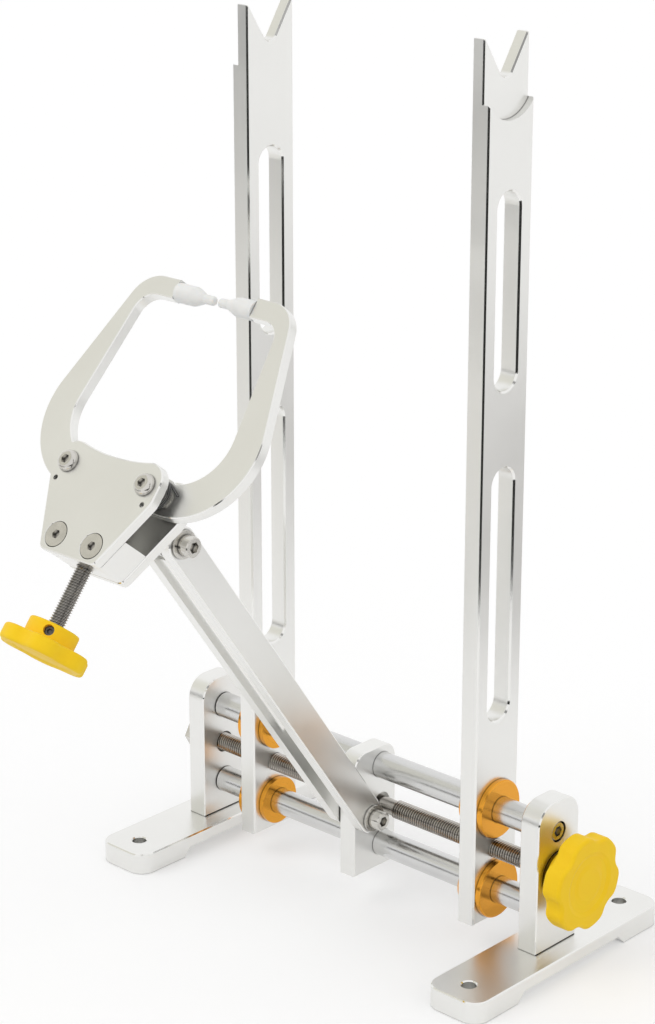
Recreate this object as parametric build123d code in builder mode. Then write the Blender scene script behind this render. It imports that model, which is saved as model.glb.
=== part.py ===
"""Bicycle wheel truing stand: two sliding uprights, a swing arm and a sprung caliper.

Millimetres. +Z is up and the table is z = 0. +X runs along the lead screw towards its
knob, and -Y is the side that the swing arm leans out to. The origin lies on the table,
in the middle of the four bench holes.
"""

import os
from math import acos, atan2, cos, degrees, hypot, pi, radians, sin, sqrt, tan

from build123d import *

# ---------------------------------------------------------------- fits and small edges
thread_gap = 0.05  # radial, between a screw and the hole it is screwed into
running_gap = 0.05  # radial, between a shaft and the hole it turns or slides in
seat_gap = 0.02  # radial, between pieces that are pressed or clamped together
side_gap = 0.25  # between flat faces that swing past each other
cut_margin = 1.0  # how far a cut runs past the face that it opens
edge_break = 0.6  # chamfer on the edges of the milled pieces

# ---------------------------------------------------------------- feet
foot_mid_x = 117.0  # each foot's centre line, from the middle of the stand
foot_width = 34.0
foot_length = 150.0
foot_height = 11.5
foot_pad_length = 32.0
foot_relief = 5.0  # hollow under the foot, between its pads
foot_corner_radius = 9.0
bench_hole_diameter = 7.5
bench_hole_inset = 14.5  # from the foot's end

# ---------------------------------------------------------------- end plates
end_plate_thickness = 11.6
end_plate_width = 32.0
end_plate_top = 91.5
end_plate_corner_radius = 12.0
foot_screw_spacing = 18.0
foot_screw_grip = 12.0  # length inside the end plate
foot_hole_spare = 1.0  # thread left past the foot screw's end

# ---------------------------------------------------------------- guide rods and lead screw
rod_diameter = 14.0
rod_spacing = 44.5
screw_axis_z = 52.0
screw_diameter = 10.0
screw_smooth_diameter = 8.4  # at the middle of the lead screw
screw_smooth_length = 33.0
screw_tip_chamfer = 1.0
screw_clearance = 1.0  # radial, in the end plates behind the bearings
bearing_outer_diameter = 22.0
bearing_width = 6.0
bearing_ring_wall = 1.5
bearing_ball_diameter = 3.2
bearing_ball_count = 10
bearing_shield_thickness = 0.5
bearing_seat_chamfer = 1.2
washer_thickness = 1.7
washer_diameter = 12.5
lock_nut_flats = 17.0
lock_nut_height = 8.0
nut_chamfer_angle = 30.0
screw_stick_out = 1.5  # past the lock nut

# ---------------------------------------------------------------- M6 and smaller fasteners
bolt_diameter = 6.0
bolt_clearance_diameter = 6.6
bolt_edge_chamfer = 0.5
bolt_head_diameter = 10.0
bolt_head_height = 6.0
bolt_socket_flats = 5.0
bolt_socket_depth = 3.0
bolt_counterbore_diameter = 11.0
bolt_counterbore_depth = 6.5
countersunk_head_diameter = 13.0  # where its cone would end sharp
countersunk_head_rim = 0.4  # turned off the sharp edge
rod_screw_grip = 14.0  # length inside the rod
rod_hole_spare = 2.0  # thread left past the rod screw's end
grub_diameter = 5.0
grub_socket_flats = 2.5
grub_length = 3.8

# ---------------------------------------------------------------- centre block
block_thickness = 10.5
block_front_y = -21.0
block_rear_y = 11.0
block_bottom_z = 16.0
block_top_z = 85.0
block_corner_radius = 9.0
block_screw_hole_diameter = 12.4

# ---------------------------------------------------------------- uprights
upright_inner_x = 72.05  # inner face, as set in the rest pose
upright_thickness = 10.6
upright_width = 33.0
upright_bottom_z = 13.5
upright_top_z = 462.5
upright_edge_chamfer = 0.8
slot_width = 16.5
slot_edge_chamfer = 0.9
lower_slot_bottom_z = 122.2
lower_slot_top_z = 254.5
upper_slot_bottom_z = 293.2
upper_slot_top_z = 390.3
notch_half_width = 14.8
notch_half_angle = 33.0
notch_round_radius = 4.5
recess_depth = 3.6
recess_radius = 20.0
recess_center_below_top = 18.75
recess_edge_chamfer = 0.7
bush_outer_diameter = 20.0
bush_flange_diameter = 31.0
bush_flange_thickness = 3.0
bush_ring_diameter = 26.0
bush_ring_thickness = 3.0

# ---------------------------------------------------------------- swing arm
arm_pivot_y = -15.0
arm_pivot_z = 51.2
arm_length = 229.0  # between its two pivots
arm_lean = 35.5  # degrees from upright, in the rest pose
arm_width = 25.0
arm_depth = 17.0
arm_slot_width = 11.0
arm_lower_slot_length = 80.0  # above the lower pivot
arm_upper_slot_length = 16.0  # below the upper pivot
arm_groove_depth = 5.0
arm_groove_fillet = 2.5
pivot_washer_diameter = 14.0
pivot_washer_thickness = 1.6
pivot_nut_flats = 10.0
pivot_nut_height = 5.0
pivot_bolt_stick_out = 1.5

# ---------------------------------------------------------------- caliper plates
caliper_tilt = 51.0  # degrees that the plates rise from level, in the rest pose
rear_plate_rise = 25.3  # from the caliper's pivot to the rear plate
plate_thickness = 5.5
plate_gap = 16.0
plate_bottom_half_width = 18.0
plate_half_width = 33.6
plate_bottom_a = -32.8
plate_side_a = 2.0
plate_top_a = 20.5
plate_dip_half_width = 22.5
plate_dip_a = 18.0
plate_bottom_radius = 3.5
plate_side_radius = 10.0
plate_top_radius = 9.5
tab_width = 17.0
spacer_block_inset = 0.3
spacer_block_top_a = -17.0
plate_screw_x = 11.8
plate_screw_a = -24.5

# ---------------------------------------------------------------- jaws
jaw_pivot_x = 25.3
jaw_pivot_a = 9.5
jaw_thickness = 6.0
jaw_from_rear_plate = 4.0
jaw_boss_radius = 8.6
jaw_nose_x = 2.5
jaw_nose_bottom_a = 4.0
jaw_nose_top_a = 10.5
jaw_nose_flat_x = 15.0
jaw_heel_x = 18.0
jaw_bottom_a = 0.5
jaw_outer_bottom_x = 80.9
jaw_outer_top_x = 48.0
jaw_outer_bottom_radius = 38.0
jaw_outer_top_radius = 16.0
jaw_bar_depth = 15.7  # height of the bar that leaves the pivot
jaw_inner_bottom_x = 53.7
jaw_inner_top_x = 44.2
jaw_inner_bottom_radius = 25.0
jaw_inner_top_radius = 10.0
jaw_top_a = 111.5
jaw_finger_depth = 10.0
jaw_finger_end_x = 25.0
jaw_edge_chamfer = 0.4
sleeve_diameter = 9.0
spacer_ring_diameter = 16.0
button_head_diameter = 10.5
button_head_height = 3.3
button_head_rim = 1.0  # height of the straight side under the rounded top
button_socket_flats = 4.0
button_socket_depth = 2.0

# ---------------------------------------------------------------- nylon tips
tip_a = 106.0
tip_body_diameter = 9.5
tip_body_length = 11.0
tip_nub_diameter = 4.6
tip_nub_length = 6.0
tip_gap = 3.3  # between the two tips, in the rest pose
tip_stud_diameter = 4.0
tip_stud_length = 8.0

# ---------------------------------------------------------------- torsion springs
spring_wire_diameter = 0.8
spring_mean_diameter = 14.0
spring_pitch = 1.28
spring_full_turns = 3
spring_start_angle = 60.0  # where the jaw's leg leaves the coil
spring_jaw_leg_length = 8.0
spring_bend_radius = 1.6
spring_hole_x = 28.7
spring_hole_a = 0.5
spring_hole_diameter = 2.6
spring_leg_in_plate = 3.6

# ---------------------------------------------------------------- thumb screw and pusher
thumb_diameter = 8.0
thumb_hub_top_a = -62.0
thumb_neck_diameter = 6.0
thumb_neck_length = 3.0
pusher_diameter = 12.0
pusher_thickness = 5.5
pusher_rest_gap = 0.15  # below the jaws' noses

# ---------------------------------------------------------------- lobed knobs
knob_lobes = 6
knob_disc_radius = 25.1
knob_disc_thickness = 10.9
knob_notch_depth = 2.75
knob_notch_radius = 9.0
knob_notch_fillet = 7.0
knob_edge_radius = 1.8
knob_dish_radius = 17.0
knob_dish_depth = 0.9
knob_dish_slope = 2.5
knob_center_radius = 8.5
knob_center_depth = 0.45  # of the raised middle of the dish
knob_hub_edge_radius = 1.2
knob_hub_radius = 12.5
knob_hub_length = 7.6
knob_floor = 4.0  # solid face in front of the screw's end
lead_knob_notch_angle = 13.0
thumb_knob_disc_radius = 22.0
thumb_knob_disc_thickness = 7.8
thumb_knob_hub_radius = 12.3
thumb_knob_hub_length = 7.9
thumb_knob_notch_angle = 19.0
thumb_grub_angle = 55.0

# ---------------------------------------------------------------- places worked out
lower_rod_z = screw_axis_z - rod_spacing / 2
upper_rod_z = screw_axis_z + rod_spacing / 2
rod_heights = (lower_rod_z, upper_rod_z)
end_plate_inner_x = foot_mid_x - end_plate_thickness / 2
end_plate_outer_x = foot_mid_x + end_plate_thickness / 2
upright_outer_x = upright_inner_x + upright_thickness
bench_hole_y = foot_length / 2 - bench_hole_inset
countersunk_head_height = (countersunk_head_diameter - bolt_diameter) / 2
hub_start_x = end_plate_outer_x + washer_thickness
sides = ((1, "right"), (-1, "left"))

lean = radians(arm_lean)
arm_up = Vector(0, -sin(lean), cos(lean))
arm_front = Vector(0, -cos(lean), -sin(lean))
arm_lower_pivot = Vector(0, arm_pivot_y, arm_pivot_z)
caliper_pivot = arm_lower_pivot + arm_up * arm_length

tilt = radians(caliper_tilt)
caliper_up = Vector(0, cos(tilt), sin(tilt))
caliper_front = Vector(0, -sin(tilt), cos(tilt))
rear_plate_n = rear_plate_rise
gap_rear_n = rear_plate_n + plate_thickness
gap_front_n = gap_rear_n + plate_gap
front_plate_n = gap_front_n + plate_thickness
jaw_rear_n = gap_rear_n + jaw_from_rear_plate
jaw_front_n = jaw_rear_n + jaw_thickness
jaw_mid_n = jaw_rear_n + jaw_thickness / 2


def caliper_point(x, a, n):
    """Point x across, a up along the plates and n to their front, from the caliper's pivot."""
    return caliper_pivot + Vector(x, 0, 0) + caliper_up * a + caliper_front * n


def caliper_plane(n):
    """Plane that lies along the caliper's plates, n in front of its pivot."""
    return Plane(origin=caliper_point(0, 0, n), x_dir=(1, 0, 0), z_dir=caliper_front)


def side_plane(x, y, z, side):
    """Plane at a point, facing out to the given side of the stand."""
    return Plane(origin=(x, y, z), x_dir=(0, 1, 0), z_dir=(side, 0, 0))


def arm_plane(along, front):
    """Plane across the arm's front, with its x along the arm from the lower pivot."""
    return Plane(
        origin=arm_lower_pivot + arm_up * along + arm_front * front,
        x_dir=arm_up,
        z_dir=arm_front,
    )


def corner(shape, x, y):
    """The corner of a sketch that lies nearest to a point."""
    return shape.vertices().sort_by_distance((x, y, 0))[0]


# ================================================================ fasteners
def cap_screw(shank_length):
    """Socket cap screw, its head's seat at z = 0 and its shank downwards."""
    with BuildPart() as screw:
        with BuildSketch():
            Circle(bolt_head_diameter / 2)
        extrude(amount=bolt_head_height)
        chamfer(screw.edges().sort_by(Axis.Z)[-1], bolt_edge_chamfer)
        with BuildSketch(Plane.XY.offset(bolt_head_height)):
            RegularPolygon(bolt_socket_flats / 2, 6, major_radius=False)
        extrude(amount=-bolt_socket_depth, mode=Mode.SUBTRACT)
        with BuildSketch():
            Circle(bolt_diameter / 2)
        extrude(amount=-shank_length)
        chamfer(screw.edges().sort_by(Axis.Z)[0], bolt_edge_chamfer)
    return screw.part


def countersunk_screw(length):
    """Countersunk socket screw, the flat of its head at z = 0 and its shank downwards."""
    with BuildPart() as screw:
        with BuildSketch():
            Circle(bolt_diameter / 2)
        extrude(amount=-length)
        chamfer(screw.edges().sort_by(Axis.Z)[0], bolt_edge_chamfer)
        with Locations((0, 0, -countersunk_head_height / 2)):
            Cone(bolt_diameter / 2, countersunk_head_diameter / 2, countersunk_head_height)
        with BuildSketch():
            Circle(countersunk_head_diameter / 2 - countersunk_head_rim)
        extrude(amount=-length, mode=Mode.INTERSECT)
        with BuildSketch():
            RegularPolygon(button_socket_flats / 2, 6, major_radius=False)
        extrude(amount=-button_socket_depth, mode=Mode.SUBTRACT)
    return screw.part


def button_screw(shank_length):
    """Button head socket screw, its head's seat at z = 0 and its shank downwards."""
    with BuildPart() as screw:
        with BuildSketch():
            Circle(button_head_diameter / 2)
        extrude(amount=button_head_height)
        fillet(screw.edges().sort_by(Axis.Z)[-1], button_head_height - button_head_rim)
        with BuildSketch(Plane.XY.offset(button_head_height)):
            RegularPolygon(button_socket_flats / 2, 6, major_radius=False)
        extrude(amount=-button_socket_depth, mode=Mode.SUBTRACT)
        with BuildSketch():
            Circle(bolt_diameter / 2)
        extrude(amount=-shank_length)
        chamfer(screw.edges().sort_by(Axis.Z)[0], bolt_edge_chamfer)
    return screw.part


def grub_screw():
    """Set screw, its socket at z = 0 and its body downwards."""
    with BuildPart() as screw:
        with BuildSketch():
            Circle(grub_diameter / 2)
        extrude(amount=-grub_length)
        with BuildSketch():
            RegularPolygon(grub_socket_flats / 2, 6, major_radius=False)
        extrude(amount=-grub_length / 2, mode=Mode.SUBTRACT)
    return screw.part


def hex_nut(flats, height, bore_diameter):
    """Hexagon nut standing on z = 0."""
    with BuildPart() as nut:
        with BuildSketch():
            RegularPolygon(flats / 2, 6, major_radius=False)
            Circle(bore_diameter / 2, mode=Mode.SUBTRACT)
        extrude(amount=height)
        with BuildSketch():
            Circle(flats / 2)
        extrude(amount=height, taper=-nut_chamfer_angle, mode=Mode.INTERSECT)
    return nut.part


def flat_ring(outer_diameter, inner_diameter, thickness):
    """Plain ring standing on z = 0."""
    with BuildPart() as ring:
        with BuildSketch():
            Circle(outer_diameter / 2)
            Circle(inner_diameter / 2, mode=Mode.SUBTRACT)
        extrude(amount=thickness)
    return ring.part


def lobed_knob(disc_radius, disc_thickness, hub_radius, hub_length, bore, grub_z, grub_angle):
    """Lobed hand knob, its hub's end at z = 0 and its face upwards, with a notch at +X."""
    top = hub_length + disc_thickness
    with BuildPart() as knob:
        with BuildSketch(Plane.XY.offset(hub_length)):
            Circle(disc_radius)
            with PolarLocations(disc_radius - knob_notch_depth + knob_notch_radius, knob_lobes):
                Circle(knob_notch_radius, mode=Mode.SUBTRACT)
            fillet(vertices(), knob_notch_fillet)
        extrude(amount=disc_thickness)
        fillet(knob.edges().group_by(Axis.Z)[0], knob_edge_radius)
        fillet(knob.edges().group_by(Axis.Z)[-1], knob_edge_radius)
        with BuildSketch():
            Circle(hub_radius)
        extrude(amount=hub_length)
        fillet(knob.edges().group_by(Axis.Z)[0], knob_hub_edge_radius)
        with BuildSketch(Plane.XZ):
            with BuildLine():
                Polyline(
                    (0, top - knob_center_depth),
                    (knob_center_radius, top - knob_center_depth),
                    (knob_center_radius + knob_dish_slope, top - knob_dish_depth),
                    (knob_dish_radius - knob_dish_slope, top - knob_dish_depth),
                    (knob_dish_radius, top),
                    (knob_dish_radius, top + cut_margin),
                    (0, top + cut_margin),
                    close=True,
                )
            make_face()
        revolve(axis=Axis.Z, mode=Mode.SUBTRACT)
        with BuildSketch():
            Circle(bore / 2)
        extrude(amount=top - knob_floor, mode=Mode.SUBTRACT)
        with Locations(radial_plane(hub_radius, grub_z, grub_angle)):
            Hole(grub_diameter / 2 + thread_gap, depth=hub_radius)
    return knob.part


def radial_plane(radius, z, angle):
    """Plane that faces out from the Z axis, at a radius, a height and an angle in degrees."""
    outwards = Vector(cos(radians(angle)), sin(radians(angle)), 0)
    return Plane(origin=outwards * radius + Vector(0, 0, z), z_dir=outwards)


# ================================================================ feet and end plates
with BuildPart() as foot_right:
    with BuildSketch(side_plane(foot_mid_x, 0, 0, 1)):
        with BuildLine():
            half_length = foot_length / 2
            pad_end = half_length - foot_pad_length
            Polyline(
                (-half_length, 0),
                (-pad_end, 0),
                (-pad_end + foot_relief, foot_relief),
                (pad_end - foot_relief, foot_relief),
                (pad_end, 0),
                (half_length, 0),
                (half_length, foot_height),
                (-half_length, foot_height),
                close=True,
            )
        make_face()
    extrude(amount=foot_width / 2, both=True)
    fillet(foot_right.edges().filter_by(Axis.Z), foot_corner_radius)
    chamfer(foot_right.faces().sort_by(Axis.Z)[-1].edges(), edge_break)
    with Locations(
        (foot_mid_x, -bench_hole_y, foot_height),
        (foot_mid_x, bench_hole_y, foot_height),
    ):
        CounterSinkHole(
            radius=bench_hole_diameter / 2,
            counter_sink_radius=bench_hole_diameter / 2 + edge_break,
            counter_sink_angle=90,
        )
    foot_hollow = Plane(origin=(foot_mid_x, 0, foot_relief), x_dir=(1, 0, 0), z_dir=(0, 0, -1))
    with Locations(foot_hollow):
        with GridLocations(1, foot_screw_spacing, 1, 2):
            CounterSinkHole(
                radius=bolt_clearance_diameter / 2,
                counter_sink_radius=countersunk_head_diameter / 2 + seat_gap,
                counter_sink_angle=90,
            )

with BuildPart() as end_plate_right:
    plate_height = end_plate_top - foot_height
    with BuildSketch(side_plane(foot_mid_x, 0, foot_height + plate_height / 2, 1)) as outline:
        Rectangle(end_plate_width, plate_height)
        fillet(outline.vertices().group_by(Axis.Y)[-1], end_plate_corner_radius)
    extrude(amount=end_plate_thickness / 2, both=True)
    chamfer(end_plate_right.faces().sort_by(Axis.X)[0].edges(), edge_break)
    chamfer(end_plate_right.faces().sort_by(Axis.X)[-1].edges(), edge_break)
    with Locations(side_plane(end_plate_outer_x, 0, screw_axis_z, 1)):
        CounterBoreHole(
            radius=screw_diameter / 2 + screw_clearance,
            counter_bore_radius=bearing_outer_diameter / 2 + seat_gap,
            counter_bore_depth=bearing_width,
        )
        Cone(
            bearing_outer_diameter / 2,
            bearing_outer_diameter / 2 + bearing_seat_chamfer,
            bearing_seat_chamfer,
            align=(Align.CENTER, Align.CENTER, Align.MAX),
            mode=Mode.SUBTRACT,
        )
    for rod_z in rod_heights:
        with Locations(side_plane(end_plate_outer_x, 0, rod_z, 1)):
            CounterBoreHole(
                radius=bolt_clearance_diameter / 2,
                counter_bore_radius=bolt_counterbore_diameter / 2,
                counter_bore_depth=bolt_counterbore_depth,
            )
    end_plate_foot = Plane(origin=(foot_mid_x, 0, foot_height), z_dir=(0, 0, -1))
    with Locations(end_plate_foot):
        with GridLocations(1, foot_screw_spacing, 1, 2):
            Hole(bolt_diameter / 2 + thread_gap, depth=foot_screw_grip + foot_hole_spare)

with BuildPart() as foot_screws:
    foot_screw_length = foot_height - foot_relief + foot_screw_grip
    for side, end in sides:
        foot_hollow = Plane(
            origin=(side * foot_mid_x, 0, foot_relief), x_dir=(1, 0, 0), z_dir=(0, 0, -1)
        )
        with Locations(foot_hollow):
            with GridLocations(1, foot_screw_spacing, 1, 2):
                add(countersunk_screw(foot_screw_length))

with BuildPart() as foot_left:
    mirror(foot_right.part, about=Plane.YZ)

with BuildPart() as end_plate_left:
    mirror(end_plate_right.part, about=Plane.YZ)

# ================================================================ guide rods
guide_rods = []
for rod_z in rod_heights:
    with BuildPart() as guide_rod:
        with BuildSketch(side_plane(0, 0, rod_z, 1)):
            Circle(rod_diameter / 2)
        extrude(amount=end_plate_inner_x, both=True)
        chamfer(guide_rod.edges().filter_by(GeomType.CIRCLE), edge_break)
        for side, end in sides:
            with Locations(side_plane(side * end_plate_inner_x, 0, rod_z, side)):
                Hole(bolt_diameter / 2 + thread_gap, depth=rod_screw_grip + rod_hole_spare)
    guide_rods.append(guide_rod)
guide_rod_lower, guide_rod_upper = guide_rods

with BuildPart() as rod_end_screws:
    head_seat_x = end_plate_outer_x - bolt_counterbore_depth
    for side, end in sides:
        for rod_z in rod_heights:
            with Locations(side_plane(side * head_seat_x, 0, rod_z, side)):
                add(cap_screw(head_seat_x - end_plate_inner_x + rod_screw_grip))

# ================================================================ bearings of the lead screw
ball_circle_radius = (bearing_outer_diameter + screw_diameter) / 4
race_radius = bearing_ball_diameter / 2 + running_gap
inner_ring_radius = screw_diameter / 2 + bearing_ring_wall
outer_ring_radius = bearing_outer_diameter / 2 - bearing_ring_wall
bearing_mid_x = end_plate_outer_x - bearing_width / 2

with BuildPart() as bearing_outer_ring_right:
    with BuildSketch(side_plane(bearing_mid_x, 0, screw_axis_z, 1)):
        Circle(bearing_outer_diameter / 2)
        Circle(outer_ring_radius, mode=Mode.SUBTRACT)
    extrude(amount=bearing_width / 2, both=True)
    with Locations(side_plane(bearing_mid_x, 0, screw_axis_z, 1)):
        Torus(ball_circle_radius, race_radius, mode=Mode.SUBTRACT)
    for shield_x in (end_plate_outer_x, bearing_mid_x - bearing_width / 2 + bearing_shield_thickness):
        with BuildSketch(side_plane(shield_x, 0, screw_axis_z, 1)):
            Circle(outer_ring_radius)
            Circle(inner_ring_radius + 2 * running_gap, mode=Mode.SUBTRACT)
        extrude(amount=-bearing_shield_thickness)

with BuildPart() as bearing_outer_ring_left:
    mirror(bearing_outer_ring_right.part, about=Plane.YZ)

with BuildPart() as bearing_inner_rings:
    for side, end in sides:
        with BuildSketch(side_plane(side * bearing_mid_x, 0, screw_axis_z, 1)):
            Circle(inner_ring_radius)
            Circle(screw_diameter / 2 + seat_gap, mode=Mode.SUBTRACT)
        extrude(amount=bearing_width / 2, both=True)
    for side, end in sides:
        with Locations(side_plane(side * bearing_mid_x, 0, screw_axis_z, 1)):
            Torus(ball_circle_radius, race_radius, mode=Mode.SUBTRACT)

with BuildPart() as bearing_balls:
    for side, end in sides:
        with Locations(side_plane(side * bearing_mid_x, 0, screw_axis_z, 1)):
            with PolarLocations(ball_circle_radius, bearing_ball_count):
                Sphere(bearing_ball_diameter / 2)

# ================================================================ lead screw, nut and knob
nut_end_x = end_plate_outer_x + washer_thickness + lock_nut_height
knob_depth = knob_hub_length + knob_disc_thickness - knob_floor
screw_right_x = hub_start_x + knob_depth - running_gap
screw_left_x = -nut_end_x - screw_stick_out

with BuildPart() as lead_screw:
    with BuildSketch(side_plane(screw_left_x, 0, screw_axis_z, 1)):
        Circle(screw_diameter / 2)
    extrude(amount=screw_right_x - screw_left_x)
    chamfer(lead_screw.edges().filter_by(GeomType.CIRCLE), screw_tip_chamfer)
    with BuildSketch(side_plane(0, 0, screw_axis_z, 1)):
        Circle(screw_diameter / 2)
        Circle(screw_smooth_diameter / 2, mode=Mode.SUBTRACT)
    extrude(amount=screw_smooth_length / 2, both=True, mode=Mode.SUBTRACT)

with BuildPart() as lead_washers:
    for side, end in sides:
        with Locations(side_plane(side * end_plate_outer_x, 0, screw_axis_z, side)):
            add(flat_ring(washer_diameter, screw_diameter + 2 * seat_gap, washer_thickness))

with BuildPart() as lead_lock_nut:
    with Locations(side_plane(-hub_start_x, 0, screw_axis_z, -1)):
        add(hex_nut(lock_nut_flats, lock_nut_height, screw_diameter + 2 * thread_gap))

lead_knob_plane = Plane(
    origin=(hub_start_x, 0, screw_axis_z),
    x_dir=(0, cos(radians(lead_knob_notch_angle)), sin(radians(lead_knob_notch_angle))),
    z_dir=(1, 0, 0),
)
lead_grub_angle = -90 - lead_knob_notch_angle
lead_grub_z = knob_hub_length / 2

with BuildPart() as lead_knob:
    with Locations(lead_knob_plane):
        add(
            lobed_knob(
                knob_disc_radius,
                knob_disc_thickness,
                knob_hub_radius,
                knob_hub_length,
                screw_diameter + 2 * seat_gap,
                lead_grub_z,
                lead_grub_angle,
            )
        )

with BuildPart() as lead_knob_grub_screw:
    grub_face_radius = screw_diameter / 2 + seat_gap + grub_length
    with Locations(lead_knob_plane):
        with Locations(radial_plane(grub_face_radius, lead_grub_z, lead_grub_angle)):
            add(grub_screw())

# ================================================================ centre block
with BuildPart() as centre_block:
    block_mid_y = (block_front_y + block_rear_y) / 2
    block_mid_z = (block_bottom_z + block_top_z) / 2
    with BuildSketch(side_plane(0, block_mid_y, block_mid_z, 1)) as outline:
        Rectangle(block_rear_y - block_front_y, block_top_z - block_bottom_z)
        fillet(outline.vertices().group_by(Axis.Y)[-1], block_corner_radius)
    extrude(amount=block_thickness / 2, both=True)
    chamfer(centre_block.faces().sort_by(Axis.X)[0].edges(), edge_break)
    chamfer(centre_block.faces().sort_by(Axis.X)[-1].edges(), edge_break)
    for rod_z in rod_heights:
        with Locations(side_plane(block_thickness / 2, 0, rod_z, 1)):
            Hole(rod_diameter / 2 + seat_gap, depth=block_thickness)
        with Locations(Plane(origin=(0, block_rear_y, rod_z), z_dir=(0, 1, 0))):
            Hole(grub_diameter / 2 + thread_gap, depth=block_rear_y)
    with Locations(side_plane(block_thickness / 2, 0, screw_axis_z, 1)):
        Hole(block_screw_hole_diameter / 2, depth=block_thickness)
    with Locations(side_plane(block_thickness / 2, arm_pivot_y, arm_pivot_z, 1)):
        Hole(bolt_diameter / 2 + running_gap, depth=block_thickness)

with BuildPart() as block_grub_screws:
    for rod_z in rod_heights:
        grub_face_y = rod_diameter / 2 + seat_gap + grub_length
        with Locations(Plane(origin=(0, grub_face_y, rod_z), z_dir=(0, 1, 0))):
            add(grub_screw())

# ================================================================ uprights and their bushes
with BuildPart() as upright_right:
    with BuildSketch(side_plane(upright_inner_x, 0, 0, 1)) as outline:
        with Locations((0, (upright_bottom_z + upright_top_z) / 2)):
            Rectangle(upright_width, upright_top_z - upright_bottom_z)
        notch_slope = tan(radians(notch_half_angle))
        notch_point_z = upright_top_z - notch_half_width / notch_slope
        with BuildLine():
            Polyline(
                (0, notch_point_z),
                (notch_half_width + notch_slope, upright_top_z + cut_margin),
                (-notch_half_width - notch_slope, upright_top_z + cut_margin),
                close=True,
            )
        make_face(mode=Mode.SUBTRACT)
        fillet(corner(outline, 0, notch_point_z), notch_round_radius)
    extrude(amount=upright_thickness)
    inner_edges = upright_right.faces().sort_by(Axis.X)[0].edges()
    outer_edges = upright_right.faces().sort_by(Axis.X)[-1].edges()
    chamfer(inner_edges + outer_edges, upright_edge_chamfer)
    with BuildSketch(side_plane(upright_inner_x, 0, 0, 1)):
        for slot_bottom, slot_top in (
            (lower_slot_bottom_z, lower_slot_top_z),
            (upper_slot_bottom_z, upper_slot_top_z),
        ):
            with Locations((0, (slot_bottom + slot_top) / 2)):
                SlotOverall(slot_top - slot_bottom, slot_width, rotation=90)
    extrude(amount=upright_thickness, mode=Mode.SUBTRACT)
    inner_slot_wires = upright_right.faces().sort_by(Axis.X)[0].inner_wires()
    outer_slot_wires = upright_right.faces().sort_by(Axis.X)[-1].inner_wires()
    chamfer(inner_slot_wires.edges() + outer_slot_wires.edges(), slot_edge_chamfer)
    with BuildSketch(side_plane(upright_outer_x, 0, upright_top_z - recess_center_below_top, 1)):
        Circle(recess_radius)
        with Locations((0, (recess_center_below_top + cut_margin) / 2)):
            Rectangle(2 * recess_radius, recess_center_below_top + cut_margin)
    extrude(amount=-recess_depth, mode=Mode.SUBTRACT)
    recess_floor = upright_right.faces().filter_by(Axis.X).sort_by(Axis.X)[-2]
    recess_edges = recess_floor.edges().filter_by(GeomType.LINE)
    chamfer(recess_edges, recess_edge_chamfer)
    for rod_z in rod_heights:
        with Locations(side_plane(upright_outer_x, 0, rod_z, 1)):
            Hole(bush_outer_diameter / 2 + seat_gap, depth=upright_thickness)
    with Locations(side_plane(upright_outer_x, 0, screw_axis_z, 1)):
        Hole(screw_diameter / 2 + thread_gap, depth=upright_thickness)

with BuildPart() as upright_left:
    mirror(upright_right.part, about=Plane.YZ)

bushes = []
for rod_z in rod_heights:
    with BuildPart() as bush_right:
        with BuildSketch(side_plane(upright_outer_x, 0, rod_z, 1)):
            Circle(bush_flange_diameter / 2)
        extrude(amount=bush_flange_thickness)
        chamfer(bush_right.faces().sort_by(Axis.X)[-1].edges(), edge_break)
        with BuildSketch(side_plane(upright_outer_x, 0, rod_z, 1)):
            Circle(bush_outer_diameter / 2)
        extrude(amount=-upright_thickness - bush_ring_thickness)
        with Locations(side_plane(upright_outer_x + bush_flange_thickness, 0, rod_z, 1)):
            Hole(rod_diameter / 2 + running_gap)
    with BuildPart() as bush_left:
        mirror(bush_right.part, about=Plane.YZ)
    bushes.append((bush_right, bush_left))
(bush_lower_right, bush_lower_left), (bush_upper_right, bush_upper_left) = bushes

with BuildPart() as bush_rings_right:
    for rod_z in rod_heights:
        with Locations(side_plane(upright_inner_x, 0, rod_z, -1)):
            add(
                flat_ring(
                    bush_ring_diameter, bush_outer_diameter + 2 * seat_gap, bush_ring_thickness
                )
            )

with BuildPart() as bush_rings_left:
    mirror(bush_rings_right.part, about=Plane.YZ)

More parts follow.
